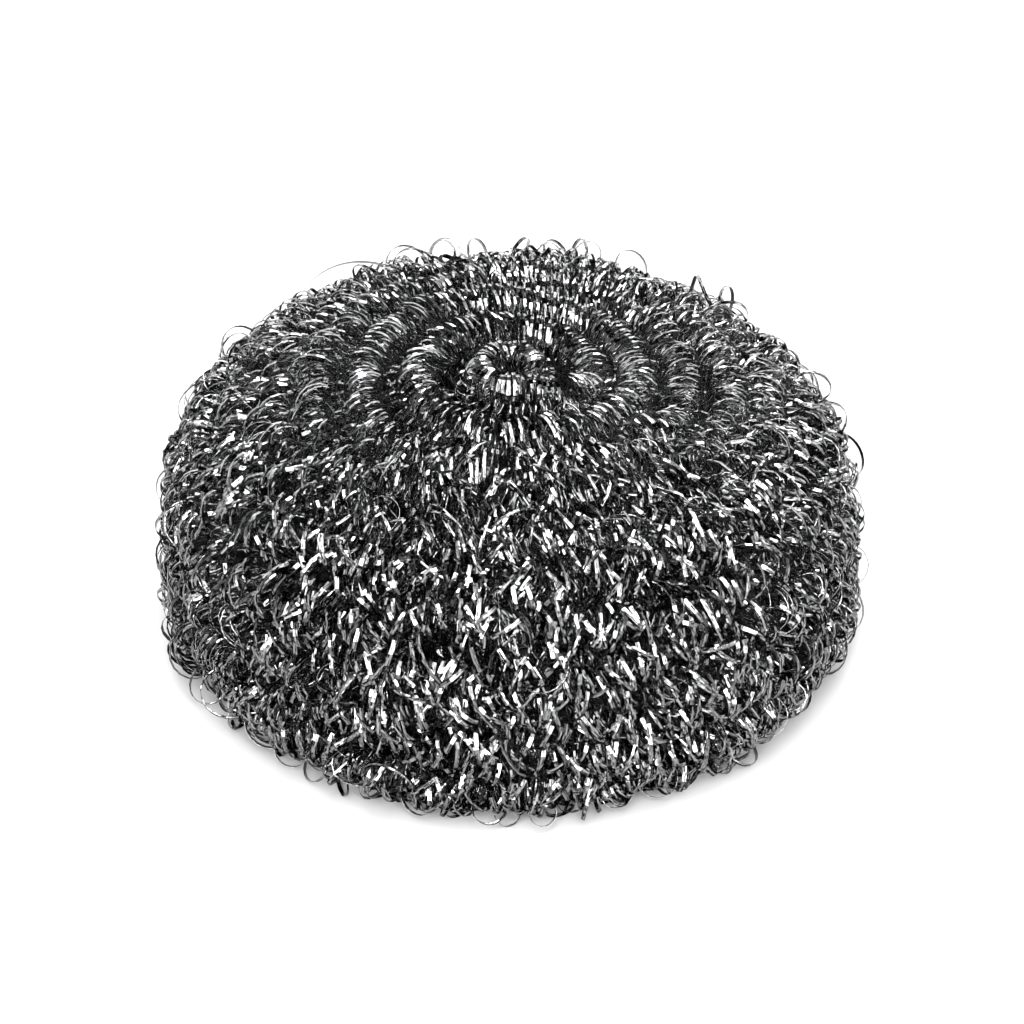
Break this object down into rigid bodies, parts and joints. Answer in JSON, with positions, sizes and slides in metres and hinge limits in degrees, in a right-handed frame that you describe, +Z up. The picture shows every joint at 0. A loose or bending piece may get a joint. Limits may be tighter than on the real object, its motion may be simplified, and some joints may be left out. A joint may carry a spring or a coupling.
{
  "type": "stainless steel wool pad",
  "caption": "Squat round scouring pad: one strand of curled flat stainless wire wound in a spiral from a small eye in the domed top to a flat underside.",
  "frame": {"origin": "middle of the flat underside, on the surface that the pad rests on", "axes": "+Z up through the eye of the domed top; +X to the right and +Y away in the picture's view, with the sagged shoulder on the +X side"},
  "size_m": [0.0838, 0.084, 0.036],
  "materials": {
    "stainless_wire": "bright rolled flat wire"
  },
  "bodies": {
    "root": {"wound_wire_pad": "stainless_wire"}
  },
  "joints": []
}
